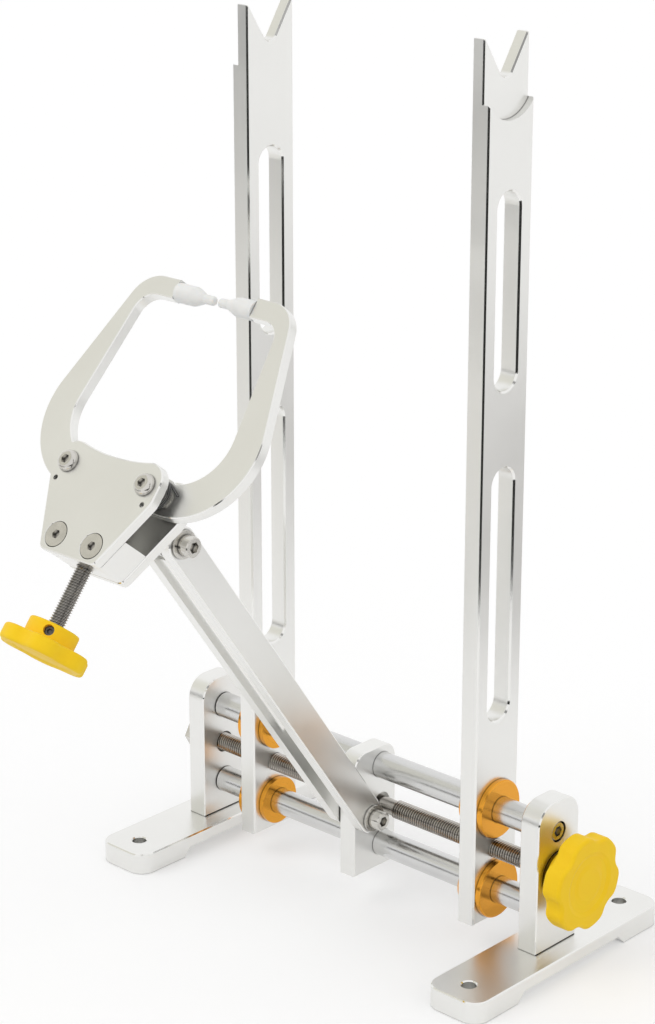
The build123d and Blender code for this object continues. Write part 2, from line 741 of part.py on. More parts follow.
# ================================================================ swing arm
with BuildPart() as arm:
    with BuildSketch(
        Plane(origin=arm_lower_pivot + arm_up * (arm_length / 2), x_dir=arm_up, z_dir=(1, 0, 0))
    ):
        SlotCenterToCenter(arm_length, arm_depth)
    extrude(amount=arm_width / 2, both=True)
    chamfer(arm.faces().sort_by(Axis.X)[0].edges(), edge_break)
    chamfer(arm.faces().sort_by(Axis.X)[-1].edges(), edge_break)
    arm_end = arm_depth / 2 + arm_slot_width
    upper_slot_start = arm_length - arm_upper_slot_length
    with BuildSketch(arm_plane(0, arm_depth / 2)):
        with Locations(((arm_lower_slot_length - arm_end) / 2, 0)):
            SlotOverall(arm_lower_slot_length + arm_end, arm_slot_width)
        with Locations((arm_length + (arm_end - arm_upper_slot_length) / 2, 0)):
            SlotOverall(arm_upper_slot_length + arm_end, arm_slot_width)
    extrude(amount=-arm_depth, mode=Mode.SUBTRACT)
    groove_start = arm_lower_slot_length - arm_slot_width / 2
    groove_end = upper_slot_start + arm_slot_width / 2
    groove_section = Plane(
        origin=arm_lower_pivot + arm_up * groove_start + arm_front * (arm_depth / 2),
        x_dir=(1, 0, 0),
        z_dir=arm_up,
    )
    with BuildSketch(groove_section) as outline:
        Rectangle(arm_slot_width, 2 * arm_groove_depth)
        fillet(outline.vertices(), arm_groove_fillet)
    extrude(amount=groove_end - groove_start, mode=Mode.SUBTRACT)
    for pivot in (arm_lower_pivot, caliper_pivot):
        with Locations(side_plane(arm_width / 2, pivot.Y, pivot.Z, 1)):
            Hole(bolt_diameter / 2 + seat_gap, depth=arm_width)

washer_face_x = arm_width / 2 + pivot_washer_thickness
with BuildPart() as arm_pivot_bolts:
    pivot_bolt_length = 2 * washer_face_x + pivot_nut_height + pivot_bolt_stick_out
    for pivot in (arm_lower_pivot, caliper_pivot):
        with Locations(side_plane(washer_face_x, pivot.Y, pivot.Z, 1)):
            add(cap_screw(pivot_bolt_length))

with BuildPart() as arm_pivot_washers:
    for pivot in (arm_lower_pivot, caliper_pivot):
        for side, end in sides:
            with Locations(side_plane(side * arm_width / 2, pivot.Y, pivot.Z, side)):
                add(
                    flat_ring(
                        pivot_washer_diameter, bolt_diameter + 2 * seat_gap, pivot_washer_thickness
                    )
                )

with BuildPart() as arm_pivot_nuts:
    for pivot in (arm_lower_pivot, caliper_pivot):
        with Locations(side_plane(-washer_face_x, pivot.Y, pivot.Z, -1)):
            add(hex_nut(pivot_nut_flats, pivot_nut_height, bolt_diameter + 2 * thread_gap))


# ================================================================ caliper plates
def plate_outline(n):
    """Outline of a caliper plate, n in front of the caliper's pivot."""
    with BuildSketch(caliper_plane(n)) as outline:
        with BuildLine():
            Polyline(
                (-plate_dip_half_width, plate_top_a),
                (-plate_half_width, plate_top_a),
                (-plate_half_width, plate_side_a),
                (-plate_bottom_half_width, plate_bottom_a),
                (plate_bottom_half_width, plate_bottom_a),
                (plate_half_width, plate_side_a),
                (plate_half_width, plate_top_a),
                (plate_dip_half_width, plate_top_a),
            )
            ThreePointArc(
                (plate_dip_half_width, plate_top_a),
                (0, plate_dip_a),
                (-plate_dip_half_width, plate_top_a),
            )
        make_face()
        for mirror_side in (1, -1):
            fillet(
                corner(outline, mirror_side * plate_bottom_half_width, plate_bottom_a),
                plate_bottom_radius,
            )
            fillet(corner(outline, mirror_side * plate_half_width, plate_side_a), plate_side_radius)
            fillet(corner(outline, mirror_side * plate_half_width, plate_top_a), plate_top_radius)
    return outline.sketch


with BuildPart() as caliper_front_plate:
    extrude(plate_outline(gap_front_n), amount=plate_thickness)
    chamfer(caliper_front_plate.faces().filter_by(caliper_plane(0)).edges(), edge_break)
    with Locations(caliper_plane(front_plate_n)):
        with Locations((-jaw_pivot_x, jaw_pivot_a), (jaw_pivot_x, jaw_pivot_a)):
            Hole(bolt_diameter / 2 + seat_gap, depth=plate_thickness)
        with Locations((-spring_hole_x, spring_hole_a), (spring_hole_x, spring_hole_a)):
            Hole(spring_hole_diameter / 2, depth=plate_thickness)
        with Locations((-plate_screw_x, plate_screw_a), (plate_screw_x, plate_screw_a)):
            CounterSinkHole(
                radius=bolt_diameter / 2 + seat_gap,
                counter_sink_radius=countersunk_head_diameter / 2 + seat_gap,
                depth=plate_thickness,
                counter_sink_angle=90,
            )

with BuildPart() as caliper_rear_plate:
    extrude(plate_outline(rear_plate_n), amount=plate_thickness)
    chamfer(caliper_rear_plate.faces().filter_by(caliper_plane(0)).edges(), edge_break)
    tab_half_width = tab_width / 2
    with BuildSketch(Plane(origin=caliper_pivot, x_dir=caliper_up, z_dir=(1, 0, 0))):
        Circle(tab_half_width)
        with Locations((0, (rear_plate_n + edge_break) / 2)):
            Rectangle(tab_width, rear_plate_n + edge_break)
    extrude(amount=block_thickness / 2, both=True)
    with Locations(side_plane(block_thickness / 2, caliper_pivot.Y, caliper_pivot.Z, 1)):
        Hole(bolt_diameter / 2 + running_gap, depth=block_thickness)
    with Locations(caliper_plane(gap_rear_n)):
        with Locations(
            (-jaw_pivot_x, jaw_pivot_a),
            (jaw_pivot_x, jaw_pivot_a),
            (-plate_screw_x, plate_screw_a),
            (plate_screw_x, plate_screw_a),
        ):
            Hole(bolt_diameter / 2 + thread_gap, depth=plate_thickness)

with BuildPart() as caliper_spacer_block:
    side_slope = (plate_half_width - plate_bottom_half_width) / (plate_side_a - plate_bottom_a)
    block_bottom_a = plate_bottom_a + spacer_block_inset
    block_bottom_half = plate_bottom_half_width - spacer_block_inset
    block_top_half = block_bottom_half + side_slope * (spacer_block_top_a - block_bottom_a)
    with BuildSketch(caliper_plane(gap_rear_n)):
        with BuildLine():
            Polyline(
                (-block_bottom_half, block_bottom_a),
                (block_bottom_half, block_bottom_a),
                (block_top_half, spacer_block_top_a),
                (-block_top_half, spacer_block_top_a),
                close=True,
            )
        make_face()
        fillet(vertices().group_by(Axis.Y)[0], plate_bottom_radius)
    extrude(amount=plate_gap)
    with Locations(caliper_plane(gap_front_n)):
        with Locations((-plate_screw_x, plate_screw_a), (plate_screw_x, plate_screw_a)):
            Hole(bolt_diameter / 2 + thread_gap, depth=plate_gap)
    thumb_hole = Plane(origin=caliper_point(0, spacer_block_top_a, jaw_mid_n), z_dir=caliper_up)
    with Locations(thumb_hole):
        Hole(thumb_diameter / 2 + thread_gap, depth=spacer_block_top_a - plate_bottom_a)

with BuildPart() as caliper_plate_screws:
    with Locations(caliper_plane(front_plate_n)):
        with Locations((-plate_screw_x, plate_screw_a), (plate_screw_x, plate_screw_a)):
            add(countersunk_screw(front_plate_n - rear_plate_n - edge_break))

with BuildPart() as jaw_pivot_screws:
    with Locations(caliper_plane(front_plate_n)):
        with Locations((-jaw_pivot_x, jaw_pivot_a), (jaw_pivot_x, jaw_pivot_a)):
            add(button_screw(front_plate_n - rear_plate_n - edge_break))

with BuildPart() as jaw_pivot_sleeves:
    with Locations(caliper_plane(gap_rear_n)):
        with Locations((-jaw_pivot_x, jaw_pivot_a), (jaw_pivot_x, jaw_pivot_a)):
            add(flat_ring(sleeve_diameter, bolt_diameter + 2 * seat_gap, plate_gap))

with BuildPart() as jaw_spacer_rings:
    with Locations(caliper_plane(gap_rear_n)):
        with Locations((-jaw_pivot_x, jaw_pivot_a), (jaw_pivot_x, jaw_pivot_a)):
            add(
                flat_ring(
                    spacer_ring_diameter,
                    sleeve_diameter + 2 * seat_gap,
                    jaw_from_rear_plate - side_gap,
                )
            )


# ================================================================ torsion springs
def coil_point(angle, n):
    """Point on the right spring's coil at an angle in degrees, n in front of the pivot."""
    radius = spring_mean_diameter / 2
    across = jaw_pivot_x + radius * cos(radians(angle))
    return caliper_point(across, jaw_pivot_a + radius * sin(radians(angle)), n)


def coil_direction(angle, rise_per_turn):
    """Direction of the coil's wire at an angle in degrees."""
    around = Vector(-sin(radians(angle)), 0, 0) + caliper_up * cos(radians(angle))
    rise = rise_per_turn / (pi * spring_mean_diameter)
    return (around + caliper_front * rise).normalized()


def join_by_two_arcs(start, start_direction, end, end_direction):
    """Join two points with two arcs that are tangent to each other and at both ends."""
    span = end - start
    along = span.dot(start_direction + end_direction)
    turn = 2 * (1 - start_direction.dot(end_direction))
    reach = (sqrt(along**2 + turn * span.dot(span)) - along) / turn
    first_handle = start + start_direction * reach
    second_handle = end - end_direction * reach
    middle = (first_handle + second_handle) / 2
    TangentArc(start, middle, tangent=start_direction)
    TangentArc(middle, end, tangent=(second_handle - first_handle).normalized())


def least_gap_to_itself(wire, wire_diameter, skipped_length):
    """Least distance between stretches of the wire that aren't neighbours along it."""
    count = round(wire.length * 4)
    points = [wire.position_at(i / count) for i in range(count + 1)]
    skipped = round(skipped_length * 4)
    gaps = [
        (points[i] - points[j]).length
        for i in range(count + 1)
        for j in range(i + skipped, count + 1)
    ]
    return min(gaps) - wire_diameter


hole_across = spring_hole_x - jaw_pivot_x
hole_down = spring_hole_a - jaw_pivot_a
hole_distance = hypot(hole_across, hole_down)
leave_angle = degrees(
    atan2(hole_down, hole_across) - acos(spring_mean_diameter / 2 / hole_distance)
)
coil_end_angle = leave_angle + 360 * (spring_full_turns + 1)
coil_turns = (coil_end_angle - spring_start_angle) / 360
coil_rise = spring_pitch * coil_turns
coil_start_n = (jaw_front_n + gap_front_n - coil_rise) / 2
coil_end_n = coil_start_n + coil_rise
quarter_turns = round(coil_turns * 4)

with BuildPart() as torsion_spring_right:
    with BuildLine() as spring_wire:
        steps = [i / quarter_turns for i in range(quarter_turns + 1)]
        angles = [spring_start_angle + 360 * coil_turns * step for step in steps]
        heights = [coil_start_n + coil_rise * step for step in steps]
        slopes = [0] + [spring_pitch] * (quarter_turns - 1) + [0]
        nodes = [coil_point(angle, n) for angle, n in zip(angles, heights)]
        headings = [coil_direction(angle, slope) for angle, slope in zip(angles, slopes)]
        Line(nodes[0] - headings[0] * spring_jaw_leg_length, nodes[0])
        for i in range(quarter_turns):
            join_by_two_arcs(nodes[i], headings[i], nodes[i + 1], headings[i + 1])
        hole_point = caliper_point(spring_hole_x, spring_hole_a, coil_end_n)
        bend_start = hole_point - headings[-1] * spring_bend_radius
        bend_end = hole_point + caliper_front * spring_bend_radius
        leg_end = caliper_point(spring_hole_x, spring_hole_a, gap_front_n + spring_leg_in_plate)
        Line(nodes[-1], bend_start)
        TangentArc(bend_start, bend_end, tangent=headings[-1])
        Line(bend_end, leg_end)
    spring_path = spring_wire.wire()
    with BuildSketch(Plane(origin=spring_path @ 0, z_dir=spring_path % 0)):
        Circle(spring_wire_diameter / 2)
    sweep(path=spring_path)

spring_gap = least_gap_to_itself(spring_path, spring_wire_diameter, spring_mean_diameter)
print(f"torsion spring: {coil_turns:.2f} turns, least gap to itself {spring_gap:.2f} mm")

with BuildPart() as torsion_spring_left:
    mirror(torsion_spring_right.part, about=Plane.YZ)

# ================================================================ jaws and their tips
with BuildPart() as jaw_right:
    bar_top_a = jaw_bottom_a + jaw_bar_depth
    finger_bottom_a = jaw_top_a - jaw_finger_depth
    with BuildSketch(caliper_plane(jaw_rear_n)) as outline:
        with BuildLine():
            Polyline(
                (jaw_nose_x, jaw_nose_bottom_a),
                (jaw_nose_flat_x, jaw_nose_bottom_a),
                (jaw_heel_x, jaw_bottom_a),
                (jaw_outer_bottom_x, jaw_bottom_a),
                (jaw_outer_top_x, jaw_top_a),
                (jaw_finger_end_x, jaw_top_a),
                (jaw_finger_end_x, finger_bottom_a),
                (jaw_inner_top_x, finger_bottom_a),
                (jaw_inner_bottom_x, bar_top_a),
                (jaw_pivot_x, bar_top_a),
                (jaw_nose_x, jaw_nose_top_a),
                close=True,
            )
        make_face()
        fillet(corner(outline, jaw_outer_bottom_x, jaw_bottom_a), jaw_outer_bottom_radius)
        fillet(corner(outline, jaw_outer_top_x, jaw_top_a), jaw_outer_top_radius)
        fillet(corner(outline, jaw_inner_top_x, finger_bottom_a), jaw_inner_top_radius)
        fillet(corner(outline, jaw_inner_bottom_x, bar_top_a), jaw_inner_bottom_radius)
    extrude(amount=jaw_thickness)
    chamfer(jaw_right.faces().filter_by(caliper_plane(0)).edges(), jaw_edge_chamfer)
    with BuildSketch(caliper_plane(jaw_rear_n)):
        with Locations((jaw_pivot_x, jaw_pivot_a)):
            Circle(jaw_boss_radius)
    extrude(amount=jaw_thickness)
    with Locations(caliper_plane(jaw_front_n)):
        with Locations((jaw_pivot_x, jaw_pivot_a)):
            Hole(sleeve_diameter / 2 + running_gap, depth=jaw_thickness)
    finger_end = caliper_point(jaw_finger_end_x, tip_a, jaw_mid_n)
    with Locations(Plane(origin=finger_end, z_dir=(-1, 0, 0))):
        Hole(tip_stud_diameter / 2 + thread_gap, depth=tip_stud_length + edge_break)

with BuildPart() as jaw_tip_right:
    tip_body_radius = tip_body_diameter / 2
    tip_nub_radius = tip_nub_diameter / 2
    tip_stud_radius = tip_stud_diameter / 2
    tip_end_x = tip_gap / 2
    body_end_x = jaw_finger_end_x - tip_body_length
    stud_end_x = jaw_finger_end_x + tip_stud_length
    tip_plane = Plane(
        origin=caliper_point(0, tip_a, jaw_mid_n), x_dir=(1, 0, 0), z_dir=caliper_front
    )
    with BuildSketch(tip_plane) as outline:
        with BuildLine():
            Polyline(
                (tip_end_x, 0),
                (tip_end_x, tip_nub_radius),
                (tip_end_x + tip_nub_length, tip_nub_radius),
                (body_end_x, tip_body_radius),
                (jaw_finger_end_x, tip_body_radius),
                (jaw_finger_end_x, tip_stud_radius),
                (stud_end_x, tip_stud_radius),
                (stud_end_x, 0),
                close=True,
            )
        make_face()
        fillet(corner(outline, tip_end_x, tip_nub_radius), tip_nub_radius / 2)
        fillet(corner(outline, body_end_x, tip_body_radius), tip_body_radius)
    revolve(axis=Axis(tip_plane.origin, (1, 0, 0)))

with BuildPart() as jaw_left:
    mirror(jaw_right.part, about=Plane.YZ)

with BuildPart() as jaw_tip_left:
    mirror(jaw_tip_right.part, about=Plane.YZ)

# ================================================================ pusher, thumb screw and knob
pusher_top_a = jaw_nose_bottom_a - pusher_rest_gap
pusher_bottom_a = pusher_top_a - pusher_thickness

with BuildPart() as pusher_cap:
    with BuildSketch(Plane(origin=caliper_point(0, pusher_bottom_a, jaw_mid_n), z_dir=caliper_up)):
        Circle(pusher_diameter / 2)
    extrude(amount=pusher_thickness)
    chamfer(pusher_cap.edges().filter_by(GeomType.CIRCLE), edge_break)
    with Locations(Plane(origin=caliper_point(0, pusher_bottom_a, jaw_mid_n), z_dir=-caliper_up)):
        Hole(thumb_neck_diameter / 2 + running_gap, depth=thumb_neck_length + running_gap)

thumb_knob_plane = Plane(
    origin=caliper_point(0, thumb_hub_top_a, jaw_mid_n),
    x_dir=Vector(cos(radians(thumb_knob_notch_angle)), 0, 0)
    + caliper_front * sin(radians(thumb_knob_notch_angle)),
    z_dir=-caliper_up,
)
thumb_knob_top = thumb_knob_hub_length + thumb_knob_disc_thickness
thumb_grub_z = thumb_knob_hub_length / 2
thumb_grub_turn = thumb_grub_angle - thumb_knob_notch_angle

with BuildPart() as thumb_screw:
    shoulder_a = pusher_bottom_a - running_gap
    screw_end_a = thumb_hub_top_a - thumb_knob_top + knob_floor + running_gap
    with BuildSketch(Plane(origin=caliper_point(0, shoulder_a, jaw_mid_n), z_dir=-caliper_up)):
        Circle(thumb_diameter / 2)
    extrude(amount=shoulder_a - screw_end_a)
    chamfer(thumb_screw.edges().filter_by(GeomType.CIRCLE), edge_break)
    with BuildSketch(Plane(origin=caliper_point(0, shoulder_a, jaw_mid_n), z_dir=caliper_up)):
        Circle(thumb_neck_diameter / 2)
    extrude(amount=thumb_neck_length)

with BuildPart() as thumb_knob:
    with Locations(thumb_knob_plane):
        add(
            lobed_knob(
                thumb_knob_disc_radius,
                thumb_knob_disc_thickness,
                thumb_knob_hub_radius,
                thumb_knob_hub_length,
                thumb_diameter + 2 * seat_gap,
                thumb_grub_z,
                thumb_grub_turn,
            )
        )

with BuildPart() as thumb_knob_grub_screw:
    grub_face_radius = thumb_diameter / 2 + seat_gap + grub_length
    with Locations(thumb_knob_plane):
        with Locations(radial_plane(grub_face_radius, thumb_grub_z, thumb_grub_turn)):
            add(grub_screw())

# ================================================================ files
pieces = {
    "foot_right": foot_right,
    "foot_left": foot_left,
    "end_plate_right": end_plate_right,
    "end_plate_left": end_plate_left,
    "foot_screws": foot_screws,
    "guide_rod_lower": guide_rod_lower,
    "guide_rod_upper": guide_rod_upper,
    "rod_end_screws": rod_end_screws,
    "bearing_outer_ring_right": bearing_outer_ring_right,
    "bearing_outer_ring_left": bearing_outer_ring_left,
    "bearing_inner_rings": bearing_inner_rings,
    "bearing_balls": bearing_balls,
    "lead_screw": lead_screw,
    "lead_washers": lead_washers,
    "lead_lock_nut": lead_lock_nut,
    "lead_knob": lead_knob,
    "lead_knob_grub_screw": lead_knob_grub_screw,
    "centre_block": centre_block,
    "block_grub_screws": block_grub_screws,
    "upright_right": upright_right,
    "upright_left": upright_left,
    "bush_lower_right": bush_lower_right,
    "bush_lower_left": bush_lower_left,
    "bush_upper_right": bush_upper_right,
    "bush_upper_left": bush_upper_left,
    "bush_rings_right": bush_rings_right,
    "bush_rings_left": bush_rings_left,
    "arm": arm,
    "arm_pivot_bolts": arm_pivot_bolts,
    "arm_pivot_washers": arm_pivot_washers,
    "arm_pivot_nuts": arm_pivot_nuts,
    "caliper_front_plate": caliper_front_plate,
    "caliper_rear_plate": caliper_rear_plate,
    "caliper_spacer_block": caliper_spacer_block,
    "caliper_plate_screws": caliper_plate_screws,
    "jaw_pivot_screws": jaw_pivot_screws,
    "jaw_pivot_sleeves": jaw_pivot_sleeves,
    "jaw_spacer_rings": jaw_spacer_rings,
    "torsion_spring_right": torsion_spring_right,
    "torsion_spring_left": torsion_spring_left,
    "jaw_right": jaw_right,
    "jaw_left": jaw_left,
    "jaw_tip_right": jaw_tip_right,
    "jaw_tip_left": jaw_tip_left,
    "pusher_cap": pusher_cap,
    "thumb_screw": thumb_screw,
    "thumb_knob": thumb_knob,
    "thumb_knob_grub_screw": thumb_knob_grub_screw,
}

os.makedirs("parts", exist_ok=True)
for name, piece in pieces.items():
    piece.part.label = name
    export_step(piece.part, f"parts/{name}.step")
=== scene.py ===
"""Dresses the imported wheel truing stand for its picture.

The frame's milled pieces keep their own meshes and get their finishes here. The two
threaded spindles are cut again with real threads, and the studio and camera are set up as
in the photograph. Lengths are in metres, in the frame's own axes: +Z up, +X along the lead
screw towards its knob, -Y to the side that the swing arm leans out to.
"""

import logging
from dataclasses import dataclass, field
from enum import Enum
from math import cos, radians, sin, tau

import bmesh
import bpy
from mathutils import Matrix, Vector


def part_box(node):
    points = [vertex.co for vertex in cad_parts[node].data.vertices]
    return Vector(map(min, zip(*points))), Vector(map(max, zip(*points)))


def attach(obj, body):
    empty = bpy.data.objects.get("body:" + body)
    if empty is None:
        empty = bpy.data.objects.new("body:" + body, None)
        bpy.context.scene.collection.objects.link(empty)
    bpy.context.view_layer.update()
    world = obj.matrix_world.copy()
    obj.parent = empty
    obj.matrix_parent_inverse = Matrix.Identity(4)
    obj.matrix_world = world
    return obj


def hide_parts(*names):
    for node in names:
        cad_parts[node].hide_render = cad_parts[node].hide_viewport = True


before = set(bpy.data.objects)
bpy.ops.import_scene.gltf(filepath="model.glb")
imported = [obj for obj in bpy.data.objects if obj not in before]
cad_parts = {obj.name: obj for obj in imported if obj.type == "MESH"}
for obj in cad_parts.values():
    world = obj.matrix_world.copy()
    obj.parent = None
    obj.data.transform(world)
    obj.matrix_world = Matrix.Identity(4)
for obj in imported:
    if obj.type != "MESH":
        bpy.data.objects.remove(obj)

LOG = logging.getLogger("truing_stand")
MM = 0.001
MERGE_DISTANCE = 0.001 * MM
TURN_MERGE_DISTANCE = 0.01 * MM
SHARP_ANGLE = radians(32)
ARM_LEAN = radians(35.5)  # from upright, in the rest pose
CALIPER_TILT = radians(51.0)  # how far the caliper's plates rise from level

Colour = tuple[float, float, float]
Point = tuple[float, float, float]


# ---------------------------------------------------------------- finishes
class Grain(Enum):
    """How the marks that a finish leaves are drawn out, as a scale on each object axis."""

    BLASTED = (1.0, 1.0, 1.0)
    TURNED_ABOUT_X = (1.0, 0.06, 0.06)
    MOULDED = (0.9, 0.9, 0.9)


class Facing(Enum):
    """The way that a milled piece's wide faces look, which tells its chamfers apart."""

    ALONG_X = (1.0, 0.0, 0.0)
    UPWARD = (0.0, 0.0, 1.0)
    WITH_ARM = (0.0, -cos(ARM_LEAN), -sin(ARM_LEAN))
    WITH_CALIPER = (0.0, -sin(CALIPER_TILT), cos(CALIPER_TILT))


CLOUD_DETAIL = 3.0  # octaves of the clouds
MARK_DETAIL = 2.0  # octaves of the marks
CLOUD_EDGES = (0.3, 0.7)  # where the clouds' noise turns from the dark shade to the light
MARK_SHARE = 0.4  # of the marks in the roughness, beside the clouds
ROUGHNESS_EDGES = (0.45, 0.95)  # of clouds and marks together, for the ends of the swing
# Painted shade, which darkens the base colour in grooves, sockets, seams and between parts:
PAINTED_SHADE_EDGES = (0.35, 0.9)  # how open a corner is where it is darkest and where it is plain
PAINTED_SHADE_SAMPLES = 8  # rays that look for a corner's walls
SUBSURFACE_RADIUS = (1.0, 0.9, 0.8)
SUBSURFACE_SCALE = 2 * MM
CHAMFER_SLOPE = cos(radians(45))  # of a chamfer's normal along the wide faces' own
CHAMFER_SLOPE_SPREAD = 0.15  # each way, for what still counts as a chamfer


@dataclass(frozen=True)
class Finish:
    """One surface finish, with the grain and the cloudiness that show up close.

    Attributes:
        label: the material's name.
        colour: base colour, linear.
        shade: the base colour of its darker clouds, linear.
        metallic: 1 for bare or anodised metal, 0 for plastics.
        roughness: mean roughness.
        roughness_swing: how far the clouds move the roughness each way.
        grain: how the marks are drawn out.
        grain_size: distance between marks, in metres.
        grain_depth: depth of the marks, in metres.
        cloud_size: size of the clouds, in metres.
        subsurface: weight of light that passes under the surface.
        specular: how strongly a plastic's surface mirrors.
        chamfer_roughness: roughness of the bright cut chamfers on milled pieces.
        painted_shade_reach: how far the painted shade reaches out of grooves, sockets and seams,
            in metres.
        darkest_painted_shade: how dark the painted shade makes the deepest corners, against 1
            for none.
    """

    label: str
    colour: Colour
    shade: Colour
    metallic: float
    roughness: float
    roughness_swing: float
    grain: Grain
    grain_size: float
    grain_depth: float
    cloud_size: float = 20 * MM
    subsurface: float = 0.0
    specular: float = 0.5
    chamfer_roughness: float = 0.1
    # painted shade in grooves, sockets and seams
    painted_shade_reach: float = 0.9 * MM
    darkest_painted_shade: float = 0.25

    def material(self, facing: Facing | None = None) -> bpy.types.Material:
        """Builds the finish as a node material, or returns the one made before.

        Args:
            facing: the way the wide faces look, where the chamfers are cut bright.

        Returns:
            The material, which reads Object coordinates and the mesh's own normals.
        """
        name = f"finish_{self.label}" + (f"_{facing.name.lower()}" if facing else "")
        made = bpy.data.materials.get(name)
        if made is not None:
            return made
        made = bpy.data.materials.new(name)
        made.use_nodes = True
        tree = made.node_tree
        shader = tree.nodes["Principled BSDF"]
        shader.inputs["Metallic"].default_value = self.metallic
        shader.inputs["Subsurface Weight"].default_value = self.subsurface
        shader.inputs["Subsurface Radius"].default_value = SUBSURFACE_RADIUS
        shader.inputs["Subsurface Scale"].default_value = SUBSURFACE_SCALE
        shader.inputs["Specular IOR Level"].default_value = self.specular
        place = tree.nodes.new("ShaderNodeTexCoord")
        clouds = self._noise(tree, place, 1 / self.cloud_size, Grain.BLASTED, CLOUD_DETAIL)
        marks = self._noise(tree, place, 1 / self.grain_size, self.grain, MARK_DETAIL)
        self._link_colour(tree, clouds, shader)
        roughness = self._roughness(tree, clouds, marks)
        if facing:
            roughness = self._cut_chamfers(tree, place, facing, roughness)
        tree.links.new(roughness, shader.inputs["Roughness"])
        bump = tree.nodes.new("ShaderNodeBump")
        bump.inputs["Strength"].default_value = 1.0
        bump.inputs["Distance"].default_value = self.grain_depth
        tree.links.new(marks.outputs["Fac"], bump.inputs["Height"])
        tree.links.new(bump.outputs["Normal"], shader.inputs["Normal"])
        return made

    def _noise(
        self,
        tree: bpy.types.NodeTree,
        place: bpy.types.Node,
        scale: float,
        grain: Grain,
        detail: float,
    ) -> bpy.types.Node:
        """Adds a noise that is drawn out as the grain says.

        Args:
            tree: the material's nodes.
            place: the coordinates to read.
            scale: marks for each metre.
            grain: how the marks are drawn out.
            detail: octaves of the noise.

        Returns:
            The noise node.
        """
        mapping = tree.nodes.new("ShaderNodeMapping")
        mapping.inputs["Scale"].default_value = grain.value
        noise = tree.nodes.new("ShaderNodeTexNoise")
        noise.inputs["Scale"].default_value = scale
        noise.inputs["Detail"].default_value = detail
        tree.links.new(place.outputs["Object"], mapping.inputs["Vector"])
        tree.links.new(mapping.outputs["Vector"], noise.inputs["Vector"])
        return noise

    def _link_colour(
        self, tree: bpy.types.NodeTree, clouds: bpy.types.Node, shader: bpy.types.Node
    ) -> None:
        """Lets the clouds move the colour between its two shades, and paints shade into the
        corners.

        Args:
            tree: the material's nodes.
            clouds: the large noise.
            shader: the shader to feed.
        """
        ramp = tree.nodes.new("ShaderNodeValToRGB")
        for stop, position, colour in zip(
            ramp.color_ramp.elements, CLOUD_EDGES, (self.shade, self.colour)
        ):
            stop.position = position
            stop.color = (*colour, 1.0)
        tree.links.new(clouds.outputs["Fac"], ramp.inputs["Fac"])
        # Painted shade: ambient occlusion darkens the base colour in grooves, sockets, seams and
        # between parts.
        corners = tree.nodes.new("ShaderNodeAmbientOcclusion")
        corners.samples = PAINTED_SHADE_SAMPLES
        corners.inputs["Distance"].default_value = self.painted_shade_reach
        shade = tree.nodes.new("ShaderNodeMapRange")
        shade.inputs["From Min"].default_value = PAINTED_SHADE_EDGES[0]
        shade.inputs["From Max"].default_value = PAINTED_SHADE_EDGES[1]
        shade.inputs["To Min"].default_value = self.darkest_painted_shade
        colour_with_painted_shade = tree.nodes.new("ShaderNodeVectorMath")
        colour_with_painted_shade.operation = "SCALE"
        tree.links.new(corners.outputs["AO"], shade.inputs["Value"])
        tree.links.new(ramp.outputs["Color"], colour_with_painted_shade.inputs[0])
        tree.links.new(shade.outputs["Result"], colour_with_painted_shade.inputs["Scale"])
        tree.links.new(colour_with_painted_shade.outputs["Vector"], shader.inputs["Base Color"])

    def _roughness(
        self, tree: bpy.types.NodeTree, clouds: bpy.types.Node, marks: bpy.types.Node
    ) -> bpy.types.NodeSocket:
        """Lets the clouds and, less, the marks move the roughness.

        Args:
            tree: the material's nodes.
            clouds: the large noise.
            marks: the small noise.

        Returns:
            The roughness.
        """
        both = tree.nodes.new("ShaderNodeMath")
        both.operation = "MULTIPLY_ADD"
        both.inputs[1].default_value = MARK_SHARE
        spread = tree.nodes.new("ShaderNodeMapRange")
        spread.inputs["From Min"].default_value = ROUGHNESS_EDGES[0]
        spread.inputs["From Max"].default_value = ROUGHNESS_EDGES[1]
        spread.inputs["To Min"].default_value = self.roughness - self.roughness_swing
        spread.inputs["To Max"].default_value = self.roughness + self.roughness_swing
        tree.links.new(marks.outputs["Fac"], both.inputs[0])
        tree.links.new(clouds.outputs["Fac"], both.inputs[2])
        tree.links.new(both.outputs["Value"], spread.inputs["Value"])
        return spread.outputs["Result"]

    def _cut_chamfers(
        self,
        tree: bpy.types.NodeTree,
        place: bpy.types.Node,
        facing: Facing,
        roughness: bpy.types.NodeSocket,
    ) -> bpy.types.NodeSocket:
        """Makes the faces at half a right angle to the wide ones bright, as cut last.

        Args:
            tree: the material's nodes.
            place: the coordinates to read.
            facing: the way the wide faces look.
            roughness: the roughness of the other faces.

        Returns:
            The roughness with the chamfers in it.
        """
        lean = tree.nodes.new("ShaderNodeVectorMath")
        lean.operation = "DOT_PRODUCT"
        lean.inputs[1].default_value = facing.value
        size = tree.nodes.new("ShaderNodeMath")
        size.operation = "ABSOLUTE"
        slanted = tree.nodes.new("ShaderNodeMath")
        slanted.operation = "COMPARE"
        slanted.inputs[1].default_value = CHAMFER_SLOPE
        slanted.inputs[2].default_value = CHAMFER_SLOPE_SPREAD
        either = tree.nodes.new("ShaderNodeMapRange")
        either.inputs["To Max"].default_value = self.chamfer_roughness
        tree.links.new(place.outputs["Normal"], lean.inputs[0])
        tree.links.new(lean.outputs["Value"], size.inputs[0])
        tree.links.new(size.outputs["Value"], slanted.inputs[0])
        tree.links.new(slanted.outputs["Value"], either.inputs["Value"])
        tree.links.new(roughness, either.inputs["To Min"])
        return either.outputs["Result"]


